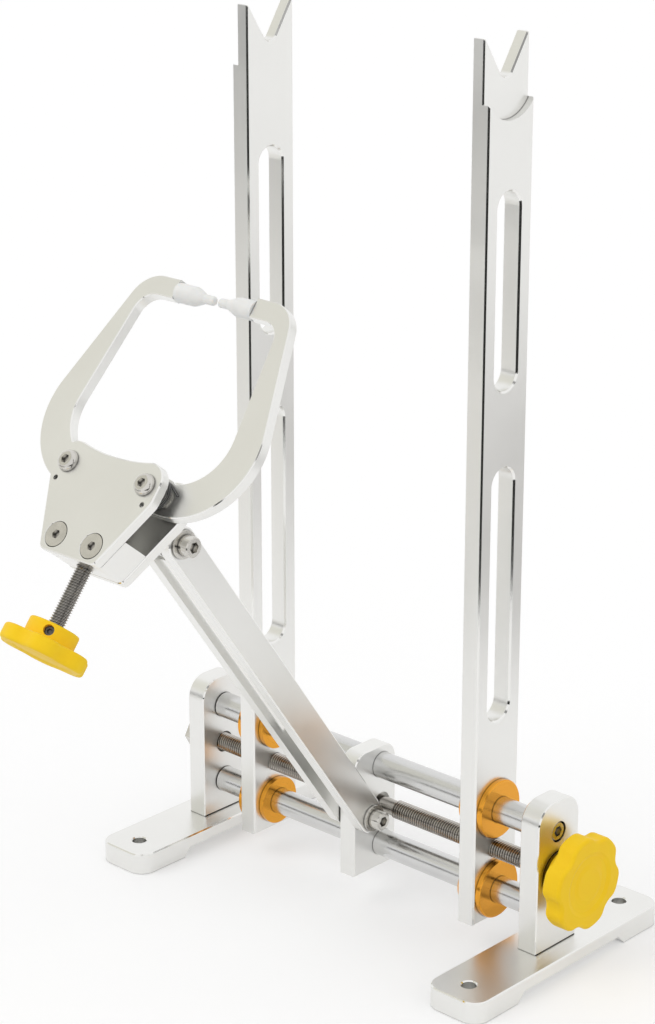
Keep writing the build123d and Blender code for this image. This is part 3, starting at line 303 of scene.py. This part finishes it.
SATIN_ALUMINIUM = Finish(
    label="satin_aluminium",
    colour=(0.86, 0.857, 0.835),
    shade=(0.83, 0.827, 0.805),
    metallic=1.0,
    roughness=0.31,
    roughness_swing=0.03,
    grain=Grain.BLASTED,
    grain_size=0.35 * MM,
    grain_depth=0.006 * MM,
    cloud_size=45 * MM,
)
POLISHED_ROD = Finish(
    label="polished_rod",
    colour=(0.70, 0.70, 0.69),
    shade=(0.66, 0.66, 0.66),
    metallic=1.0,
    roughness=0.23,
    roughness_swing=0.03,
    grain=Grain.TURNED_ABOUT_X,
    grain_size=0.4 * MM,
    grain_depth=0.003 * MM,
)
ROLLED_THREAD = Finish(
    label="rolled_thread",
    colour=(0.58, 0.555, 0.515),
    shade=(0.47, 0.445, 0.415),
    metallic=1.0,
    roughness=0.2,
    roughness_swing=0.06,
    grain=Grain.BLASTED,
    grain_size=0.5 * MM,
    grain_depth=0.004 * MM,
    cloud_size=8 * MM,
    darkest_painted_shade=0.1,
)
STAINLESS = Finish(
    label="stainless_fastener",
    colour=(0.68, 0.66, 0.62),
    shade=(0.58, 0.565, 0.53),
    metallic=1.0,
    roughness=0.15,
    roughness_swing=0.04,
    grain=Grain.BLASTED,
    grain_size=0.3 * MM,
    grain_depth=0.006 * MM,
    cloud_size=5 * MM,
    painted_shade_reach=1.6 * MM,
    darkest_painted_shade=0.12,
)
BEARING_STEEL = Finish(
    label="bearing_steel",
    colour=(0.60, 0.60, 0.61),
    shade=(0.54, 0.54, 0.55),
    metallic=1.0,
    roughness=0.2,
    roughness_swing=0.03,
    grain=Grain.BLASTED,
    grain_size=0.3 * MM,
    grain_depth=0.003 * MM,
    cloud_size=6 * MM,
)
GOLD_ANODISED = Finish(
    label="gold_anodised",
    colour=(0.82, 0.37, 0.045),
    shade=(0.80, 0.355, 0.043),
    metallic=1.0,
    roughness=0.22,
    roughness_swing=0.02,
    grain=Grain.TURNED_ABOUT_X,
    grain_size=0.3 * MM,
    grain_depth=0.001 * MM,
    cloud_size=12 * MM,
)
YELLOW_PLASTIC = Finish(
    label="yellow_plastic",
    colour=(1.0, 0.66, 0.014),
    shade=(1.0, 0.635, 0.012),
    metallic=0.0,
    roughness=0.48,
    roughness_swing=0.05,
    grain=Grain.MOULDED,
    grain_size=0.7 * MM,
    grain_depth=0.02 * MM,
    cloud_size=12 * MM,
    subsurface=0.08,
    specular=0.2,
    darkest_painted_shade=0.6,
)
WHITE_NYLON = Finish(
    label="white_nylon",
    colour=(0.86, 0.86, 0.84),
    shade=(0.80, 0.80, 0.78),
    metallic=0.0,
    roughness=0.38,
    roughness_swing=0.04,
    grain=Grain.TURNED_ABOUT_X,
    grain_size=0.4 * MM,
    grain_depth=0.01 * MM,
    cloud_size=8 * MM,
    subsurface=0.5,
    darkest_painted_shade=0.7,
)
BLACK_OXIDE = Finish(
    label="black_oxide",
    colour=(0.17, 0.17, 0.165),
    shade=(0.12, 0.12, 0.12),
    metallic=1.0,
    roughness=0.35,
    roughness_swing=0.06,
    grain=Grain.BLASTED,
    grain_size=0.4 * MM,
    grain_depth=0.006 * MM,
    cloud_size=4 * MM,
)


def dress(finish: Finish, *names: str, facing: Facing | None = None) -> None:
    """Gives CAD nodes a finish on their own meshes.

    Args:
        finish: the finish they share.
        *names: the nodes' names.
        facing: the way their wide faces look, where their chamfers are cut bright.
    """
    for name in names:
        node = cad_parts[name]
        if not node.material_slots:
            node.data.materials.append(None)
        for place in node.material_slots:
            place.material = finish.material(facing)
        LOG.info("%s: %s", name, finish.label)


def settle(
    shape: bmesh.types.BMesh,
    name: str,
    place: Matrix,
    finish: Finish,
    body: str,
    replaced: str,
) -> bpy.types.Object:
    """Turns a shape into a finished piece that stands for one CAD node.

    Args:
        shape: the shape in its own axes, which this call frees.
        name: the piece's name.
        place: where its axes lie in the frame.
        finish: its finish.
        body: the body that it rides on.
        replaced: the CAD node that it stands for.

    Returns:
        The piece, with its place in its mesh.
    """
    shape.transform(place)
    bmesh.ops.recalc_face_normals(shape, faces=shape.faces)
    mesh = bpy.data.meshes.new(name)
    shape.to_mesh(mesh)
    shape.free()
    mesh.shade_smooth()
    mesh.set_sharp_from_angle(angle=SHARP_ANGLE)
    mesh.materials.append(finish.material())
    piece = bpy.data.objects.new(name, mesh)
    bpy.context.scene.collection.objects.link(piece)
    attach(piece, body)
    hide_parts(replaced)
    LOG.info("%s: %d faces, for %s", name, len(mesh.polygons), replaced)
    return piece


# ---------------------------------------------------------------- threads
class Hand(Enum):
    """The way a thread winds."""

    RIGHT = 1
    LEFT = -1


@dataclass(frozen=True)
class MetricThread:
    """An external metric thread of real form.

    Attributes:
        diameter: its major diameter.
        pitch: its pitch.
        hand: the way it winds.
        steps: sides of each turn.
        groove_depth: the groove's depth, in pitches.
        groove_floor: the flat at the groove's bottom, in pitches.
        crest: where the flat crest starts and ends, in pitches.
        spare_turns: turns wound past both ends, to be cut off.
    """

    diameter: float
    pitch: float
    hand: Hand
    steps: int = 40
    groove_depth: float = 0.6134
    groove_floor: float = 0.25
    crest: tuple[float, float] = (0.5625, 0.6875)
    spare_turns: int = 3

    @property
    def root_radius(self) -> float:
        """Radius at the bottom of the groove."""
        return self.diameter / 2 - self.groove_depth * self.pitch

    def stud(self, length: float, chamfers: tuple[float, float]) -> bmesh.types.BMesh:
        """Cuts a closed threaded stud along +X from the origin.

        Args:
            length: its length.
            chamfers: its chamfers at the origin and at the far end, 0 for none.

        Returns:
            The stud.
        """
        high, low = self.diameter / 2, self.root_radius
        outline = (
            (0.0, low),
            (self.groove_floor, low),
            (self.crest[0], high),
            (self.crest[1], high),
            (1.0, low),
        )
        stud = bmesh.new()
        points = [stud.verts.new(((at - 1) * self.pitch, r, 0)) for at, r in outline]
        edges = [stud.edges.new(pair) for pair in zip(points, points[1:])]
        bmesh.ops.spin(
            stud,
            geom=points + edges,
            cent=(0, 0, 0),
            axis=(1, 0, 0),
            dvec=(self.pitch / self.steps, 0, 0),
            angle=tau * self.hand.value,
            steps=self.steps,
            use_merge=False,
        )
        turn = stud.verts[:] + stud.edges[:] + stud.faces[:]
        turns = int(length / self.pitch) + self.spare_turns
        for count in range(1, turns):
            copied = bmesh.ops.duplicate(stud, geom=turn)["geom"]
            moved = [part for part in copied if isinstance(part, bmesh.types.BMVert)]
            bmesh.ops.translate(stud, verts=moved, vec=(count * self.pitch, 0, 0))
        bmesh.ops.remove_doubles(stud, verts=stud.verts, dist=TURN_MERGE_DISTANCE)
        self._trim(stud, 0.0, -1)
        self._trim(stud, length, 1)
        for end, (at, size) in enumerate(zip((0.0, length), chamfers)):
            self._chamfer(stud, at, size, 1 if end else -1)
        return stud

    def _trim(self, stud: bmesh.types.BMesh, at: float, way: int) -> None:
        """Cuts the stud square at a place and closes the cut.

        Args:
            stud: the stud.
            at: the place along +X.
            way: 1 to cut off what lies past it, -1 what lies before it.
        """
        cut = bmesh.ops.bisect_plane(
            stud,
            geom=stud.verts[:] + stud.edges[:] + stud.faces[:],
            dist=MERGE_DISTANCE,
            plane_co=(at, 0, 0),
            plane_no=(way, 0, 0),
            clear_outer=True,
        )
        rim = [part for part in cut["geom_cut"] if isinstance(part, bmesh.types.BMEdge)]
        bmesh.ops.holes_fill(stud, edges=rim, sides=0)

    def _chamfer(self, stud: bmesh.types.BMesh, at: float, size: float, way: int) -> None:
        """Draws the end's crests in to a cone.

        Args:
            stud: the stud.
            at: where the end is along +X.
            size: the chamfer's size, 0 for none.
            way: 1 where the end faces +X, -1 where it faces -X.
        """
        for vert in stud.verts:
            inside = (at - vert.co.x) * way
            limit = self.diameter / 2 - size + inside
            radius = Vector((vert.co.y, vert.co.z)).length
            if size and inside < size and radius > limit:
                vert.co.y *= limit / radius
                vert.co.z *= limit / radius


def plain_bar(radius: float, start: float, end: float, sides: int = 64) -> bmesh.types.BMesh:
    """Turns a plain bar along +X.

    Args:
        radius: its radius.
        start: where it starts along +X.
        end: where it ends along +X.
        sides: its sides.

    Returns:
        The bar.
    """
    bar = bmesh.new()
    outline = ((start, 0), (start, radius), (end, radius), (end, 0))
    points = [bar.verts.new((x, r, 0)) for x, r in outline]
    edges = [bar.edges.new(pair) for pair in zip(points, points[1:])]
    bmesh.ops.spin(
        bar,
        geom=points + edges,
        cent=(0, 0, 0),
        axis=(1, 0, 0),
        dvec=(0, 0, 0),
        angle=tau,
        steps=sides,
        use_merge=True,
    )
    bmesh.ops.remove_doubles(bar, verts=bar.verts, dist=MERGE_DISTANCE)
    return bar


def join(*shapes: bmesh.types.BMesh) -> bmesh.types.BMesh:
    """Puts shapes into one, and frees them.

    Args:
        *shapes: the shapes to join.

    Returns:
        The joined shape.
    """
    joined = bmesh.new()
    for shape in shapes:
        spare = bpy.data.meshes.new("spare")
        shape.to_mesh(spare)
        shape.free()
        joined.from_mesh(spare)
        bpy.data.meshes.remove(spare)
    return joined


# ---------------------------------------------------------------- sub-assemblies
@dataclass
class BaseFrame:
    """The feet, end plates, guide rods, bearings and centre block.

    Attributes:
        milled_flat: the milled pieces that lie flat.
        milled_upright: the milled pieces that stand across the lead screw.
        fasteners: the screws that hold feet, plates and rods together.
        bearings: the pieces of both ball bearings.
    """

    milled_flat: tuple[str, ...] = ("foot_right", "foot_left")
    milled_upright: tuple[str, ...] = ("end_plate_right", "end_plate_left", "centre_block")
    fasteners: tuple[str, ...] = ("foot_screws", "rod_end_screws")
    bearings: tuple[str, ...] = (
        "bearing_outer_ring_right",
        "bearing_outer_ring_left",
        "bearing_inner_rings",
        "bearing_balls",
    )

    def build(self) -> None:
        """Finishes the fixed pieces."""
        dress(SATIN_ALUMINIUM, *self.milled_flat, facing=Facing.UPWARD)
        dress(SATIN_ALUMINIUM, *self.milled_upright, facing=Facing.ALONG_X)
        dress(POLISHED_ROD, "guide_rod_lower", "guide_rod_upper")
        dress(STAINLESS, *self.fasteners)
        dress(BEARING_STEEL, *self.bearings)
        dress(BLACK_OXIDE, "block_grub_screws")


@dataclass
class WidthDrive:
    """The lead screw, threaded one way on each half, with its knob and lock nut.

    Attributes:
        diameter: the thread's major diameter.
        pitch: its pitch.
        smooth_length: the plain stretch in the middle.
        smooth_diameter: that stretch's diameter.
        chamfer: the chamfer on each end.
        axis_height: the screw's height above the table.
    """

    diameter: float = 10 * MM
    pitch: float = 1.5 * MM
    smooth_length: float = 33 * MM
    smooth_diameter: float = 8.4 * MM
    chamfer: float = 1.0 * MM
    axis_height: float = 52 * MM

    def build(self) -> None:
        """Cuts the screw and finishes what turns with it."""
        low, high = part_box("lead_screw")
        half = self.smooth_length / 2
        right = MetricThread(self.diameter, self.pitch, Hand.LEFT).stud(
            high.x - half, (0.0, self.chamfer)
        )
        right.transform(Matrix.Translation((half, 0, 0)))
        left = MetricThread(self.diameter, self.pitch, Hand.RIGHT).stud(
            -low.x - half, (self.chamfer, 0.0)
        )
        left.transform(Matrix.Translation((low.x, 0, 0)))
        middle = plain_bar(self.smooth_diameter / 2, -half, half)
        settle(
            join(left, middle, right),
            "lead_screw_threaded",
            Matrix.Translation((0, 0, self.axis_height)),
            ROLLED_THREAD,
            "lead_screw",
            "lead_screw",
        )
        dress(YELLOW_PLASTIC, "lead_knob")
        dress(STAINLESS, "lead_washers", "lead_lock_nut")
        dress(BLACK_OXIDE, "lead_knob_grub_screw")


@dataclass
class Uprights:
    """The two slotted uprights with their flanged bushes and rings."""

    def build(self) -> None:
        """Finishes both sides alike."""
        for side in ("right", "left"):
            dress(SATIN_ALUMINIUM, f"upright_{side}", facing=Facing.ALONG_X)
            dress(
                GOLD_ANODISED,
                f"bush_lower_{side}",
                f"bush_upper_{side}",
                f"bush_rings_{side}",
            )


@dataclass
class SwingArm:
    """The forked arm and its two pivot bolts."""

    def build(self) -> None:
        """Finishes the arm and its fasteners."""
        dress(SATIN_ALUMINIUM, "arm", facing=Facing.WITH_ARM)
        dress(STAINLESS, "arm_pivot_bolts", "arm_pivot_washers", "arm_pivot_nuts")


@dataclass
class Caliper:
    """The plates, jaws, springs and nylon tips."""

    def build(self) -> None:
        """Finishes the caliper."""
        dress(
            SATIN_ALUMINIUM,
            "caliper_front_plate",
            "caliper_rear_plate",
            "caliper_spacer_block",
            "jaw_right",
            "jaw_left",
            facing=Facing.WITH_CALIPER,
        )
        dress(
            STAINLESS,
            "caliper_plate_screws",
            "jaw_pivot_screws",
            "jaw_pivot_sleeves",
            "jaw_spacer_rings",
            "pusher_cap",
        )
        dress(BLACK_OXIDE, "torsion_spring_right", "torsion_spring_left")
        dress(WHITE_NYLON, "jaw_tip_right", "jaw_tip_left")


@dataclass
class ThumbDrive:
    """The thumb screw that pushes the jaws apart, with its knob.

    Attributes:
        diameter: the thread's major diameter.
        pitch: its pitch.
        neck_diameter: the plain neck that turns in the pusher cap.
        neck_length: that neck's length.
        neck_root: how far the neck reaches into the thread.
        chamfer: the chamfer on each end of the thread.
        arm_pivot: the arm's lower pivot.
        arm_length: the length between the arm's pivots.
        arm_lean: the arm's lean from upright.
        tilt: how far the caliper's plates rise from level.
        jaw_middle: the jaws' middle plane, in front of the caliper's pivot.
        shoulder: where the thread starts below the pusher cap, along the plates.
        end: where the thread ends inside the knob, along the plates.
    """

    diameter: float = 8 * MM
    pitch: float = 1.25 * MM
    neck_diameter: float = 6 * MM
    neck_length: float = 3 * MM
    neck_root: float = 0.5 * MM
    chamfer: float = 0.6 * MM
    arm_pivot: Vector = field(default_factory=lambda: Vector((0, -15 * MM, 51.2 * MM)))
    arm_length: float = 229 * MM
    arm_lean: float = ARM_LEAN
    tilt: float = CALIPER_TILT
    jaw_middle: float = 37.8 * MM
    shoulder: float = -1.7 * MM
    end: float = -73.65 * MM

    def place(self) -> Matrix:
        """Lays +X along the screw, up from the knob, with the origin level with the pivot.

        Returns:
            The screw's axes in the frame.
        """
        up = Vector((0, cos(self.tilt), sin(self.tilt)))
        front = Vector((0, -sin(self.tilt), cos(self.tilt)))
        lean = Vector((0, -sin(self.arm_lean), cos(self.arm_lean)))
        pivot = self.arm_pivot + lean * self.arm_length
        axes = Matrix((up, front, up.cross(front))).transposed().to_4x4()
        return Matrix.Translation(pivot + front * self.jaw_middle) @ axes

    def build(self) -> None:
        """Cuts the screw and finishes its knob."""
        stud = MetricThread(self.diameter, self.pitch, Hand.RIGHT).stud(
            self.shoulder - self.end, (self.chamfer, self.chamfer)
        )
        stud.transform(Matrix.Translation((self.end, 0, 0)))
        neck = plain_bar(
            self.neck_diameter / 2,
            self.shoulder - self.neck_root,
            self.shoulder + self.neck_length,
        )
        settle(
            join(stud, neck),
            "thumb_screw_threaded",
            self.place(),
            ROLLED_THREAD,
            "thumb_screw",
            "thumb_screw",
        )
        dress(YELLOW_PLASTIC, "thumb_knob")
        dress(BLACK_OXIDE, "thumb_knob_grub_screw")


# ---------------------------------------------------------------- studio
CARD_LIFT = 3 * MM  # of the flat cards, above the floor


@dataclass(frozen=True)
class SoftLamp:
    """A wide lamp so far off that it lights the whole floor alike.

    Attributes:
        label: its name.
        place: the side that it shines from, seen from the stand.
        spread: how wide it looks from the stand, in degrees.
        power: the light that falls on a surface turned to it, in watts per square metre.
    """

    label: str
    place: Point
    spread: float
    power: float

    def build(self) -> None:
        """Hangs the lamp up, and keeps its bright disc out of the polished metal."""
        lamp = bpy.data.lights.new(self.label, "SUN")
        lamp.angle = radians(self.spread)
        lamp.energy = self.power
        holder = bpy.data.objects.new(self.label, lamp)
        bpy.context.scene.collection.objects.link(holder)
        holder.location = self.place
        holder.rotation_mode = "QUATERNION"
        holder.rotation_quaternion = (-Vector(self.place)).to_track_quat("-Z", "Y")
        holder.visible_glossy = False


@dataclass(frozen=True)
class ToneCard:
    """A card out of the picture that only shows as a tone in the metal.

    Attributes:
        label: its name.
        place: its centre.
        target: what it faces.
        width: its width.
        height: its height.
        tone: its colour, linear.
    """

    label: str
    place: Point
    target: Point
    width: float
    height: float
    tone: Colour

    def build(self) -> None:
        """Puts the card in its place."""
        card = bmesh.new()
        bmesh.ops.create_grid(card, x_segments=1, y_segments=1, size=0.5)
        aim = Vector(self.target) - Vector(self.place)
        turned = aim.to_track_quat("-Z", "Y").to_matrix().to_4x4()
        size = Matrix.Diagonal((self.width, self.height, 1, 1))
        card.transform(Matrix.Translation(self.place) @ turned @ size)
        mesh = bpy.data.meshes.new(self.label)
        card.to_mesh(mesh)
        card.free()
        paint = bpy.data.materials.new(self.label)
        paint.use_nodes = True
        tree = paint.node_tree
        tree.nodes.remove(tree.nodes["Principled BSDF"])
        glow = tree.nodes.new("ShaderNodeEmission")
        glow.inputs["Color"].default_value = (*self.tone, 1)
        tree.links.new(glow.outputs["Emission"], tree.nodes["Material Output"].inputs["Surface"])
        mesh.materials.append(paint)
        holder = bpy.data.objects.new(self.label, mesh)
        bpy.context.scene.collection.objects.link(holder)
        holder.visible_camera = False
        holder.visible_diffuse = False
        holder.visible_transmission = False
        holder.visible_shadow = False


def flat_card(label: str, middle: tuple[float, float], size: float, tone: Colour) -> ToneCard:
    """Lays a square card just above the floor.

    Args:
        label: its name.
        middle: its centre on the floor.
        size: its side.
        tone: its colour, linear.

    Returns:
        The card.
    """
    return ToneCard(label, (*middle, CARD_LIFT), (*middle, -1), size, size, tone)


@dataclass
class Studio:
    """A pale floor, a white surround, soft lamps and the camera.

    Attributes:
        floor_size: the floor's half width.
        floor_colour: the floor's own colour.
        floor_lift: what brings the lit floor up to plain white in the picture.
        floor_drop: how far the floor lies below the feet.
        floor_roughness: the floor's roughness.
        surround: how strongly the white surround lights the object.
        eye: the camera's place.
        right: the picture's right in the frame.
        up: the picture's up in the frame.
        lens: its focal length in millimetres.
        sensor: the long side of its picture in millimetres.
        lamps: the lamps.
        cards: the cards that the metal mirrors.
    """

    floor_size: float = 4.0
    floor_colour: float = 0.80
    floor_lift: float = 0.26
    floor_drop: float = 0.2 * MM
    floor_roughness: float = 0.9
    surround: float = 0.74
    eye: Point = (0.8567, -0.9590, 0.6605)
    right: Point = (0.73294, 0.68029, 0.0)
    up: Point = (-0.22376, 0.24108, 0.94436)
    lens: float = 94.35
    sensor: float = 36.0
    lamps: tuple[SoftLamp, ...] = (
        SoftLamp("key", (-1.0, -1.6, 2.0), 40.0, 0.62),
        SoftLamp("fill", (2.0, -0.2, 1.6), 60.0, 0.22),
    )
    cards: tuple[ToneCard, ...] = (
        ToneCard("card_sky", (-1.28, -0.93, 1.35), (0, -0.1, 0.2), 1.5, 1.5, (0.81, 0.80, 0.73)),
        flat_card("card_floor_left", (-0.9, -0.97), 1.3, (0.90, 0.89, 0.86)),
        flat_card("card_floor_back", (0.54, 0.58), 0.55, (0.56, 0.55, 0.54)),
        flat_card("card_floor_eye", (1.75, -1.6), 2.6, (0.03, 0.03, 0.03)),
        ToneCard(
            "card_eye_high", (1.26, -0.6, 1.35), (0.09, 0, 0.44), 0.45, 0.45, (0.35, 0.35, 0.35)
        ),
        ToneCard("card_low", (-1.2, -1.5, 0.16), (0, 0, 0.1), 1.6, 0.3, (0.12, 0.12, 0.12)),
        ToneCard("card_side", (1.9, -0.6, 0.6), (0, 0, 0.2), 0.5, 1.6, (0.3, 0.3, 0.3)),
    )

    def build(self) -> None:
        """Sets up the floor, surround, lamps, cards and camera."""
        self._floor()
        self._surround()
        for lamp in self.lamps:
            lamp.build()
        for card in self.cards:
            card.build()
        self._camera()

    def _seen(self, tree: bpy.types.NodeTree) -> bpy.types.NodeSocket:
        """Adds a value that is 1 where the eye or a mirror looks, and 0 for stray light.

        Args:
            tree: the nodes to add it to.

        Returns:
            The value's socket.
        """
        path = tree.nodes.new("ShaderNodeLightPath")
        seen = path.outputs["Is Camera Ray"]
        for name in ("Is Glossy Ray", "Is Transmission Ray"):
            either = tree.nodes.new("ShaderNodeMath")
            either.operation = "MAXIMUM"
            tree.links.new(seen, either.inputs[0])
            tree.links.new(path.outputs[name], either.inputs[1])
            seen = either.outputs["Value"]
        return seen

    def _floor(self) -> None:
        """Lays the pale floor under the feet, plain white but for the stand's shadow."""
        floor = bmesh.new()
        bmesh.ops.create_grid(floor, x_segments=2, y_segments=2, size=self.floor_size)
        floor.transform(Matrix.Translation((0, 0, -self.floor_drop)))
        mesh = bpy.data.meshes.new("floor")
        floor.to_mesh(mesh)
        floor.free()
        paint = bpy.data.materials.new("floor_white")
        paint.use_nodes = True
        tree = paint.node_tree
        shader = tree.nodes["Principled BSDF"]
        shader.inputs["Base Color"].default_value = (*[self.floor_colour] * 3, 1)
        shader.inputs["Roughness"].default_value = self.floor_roughness
        shader.inputs["Specular IOR Level"].default_value = 0.0
        shader.inputs["Emission Color"].default_value = (1, 1, 1, 1)
        lift = tree.nodes.new("ShaderNodeMath")
        lift.operation = "MULTIPLY"
        lift.inputs[1].default_value = self.floor_lift
        tree.links.new(self._seen(tree), lift.inputs[0])
        tree.links.new(lift.outputs["Value"], shader.inputs["Emission Strength"])
        mesh.materials.append(paint)
        holder = bpy.data.objects.new("floor", mesh)
        bpy.context.scene.collection.objects.link(holder)

    def _surround(self) -> None:
        """Makes the surround plain white to look at and softer as a light."""
        world = bpy.data.worlds.new("surround")
        bpy.context.scene.world = world
        world.use_nodes = True
        tree = world.node_tree
        tree.nodes.clear()
        strength = tree.nodes.new("ShaderNodeMapRange")
        strength.inputs["To Min"].default_value = self.surround
        strength.inputs["To Max"].default_value = 1.0
        tree.links.new(self._seen(tree), strength.inputs["Value"])
        white = tree.nodes.new("ShaderNodeBackground")
        white.inputs["Color"].default_value = (1, 1, 1, 1)
        tree.links.new(strength.outputs["Result"], white.inputs["Strength"])
        out = tree.nodes.new("ShaderNodeOutputWorld")
        tree.links.new(white.outputs["Background"], out.inputs["Surface"])

    def _camera(self) -> None:
        """Puts the camera where the photograph was taken from."""
        data = bpy.data.cameras.new("camera")
        data.lens = self.lens
        data.sensor_width = self.sensor
        camera = bpy.data.objects.new("camera", data)
        bpy.context.scene.collection.objects.link(camera)
        right, up = Vector(self.right), Vector(self.up)
        axes = Matrix((right, up, right.cross(up))).transposed().to_4x4()
        camera.matrix_world = Matrix.Translation(self.eye) @ axes
        bpy.context.scene.camera = camera


def main() -> None:
    """Builds every sub-assembly in order, then the studio."""
    logging.basicConfig(level=logging.INFO, format="%(name)s %(message)s")
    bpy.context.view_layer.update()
    for assembly in (BaseFrame(), WidthDrive(), Uprights(), SwingArm(), Caliper(), ThumbDrive()):
        LOG.info("building %s", type(assembly).__name__)
        assembly.build()
    Studio().build()
    bpy.context.scene.view_settings.view_transform = "Standard"


if __name__ == "__main__":
    main()
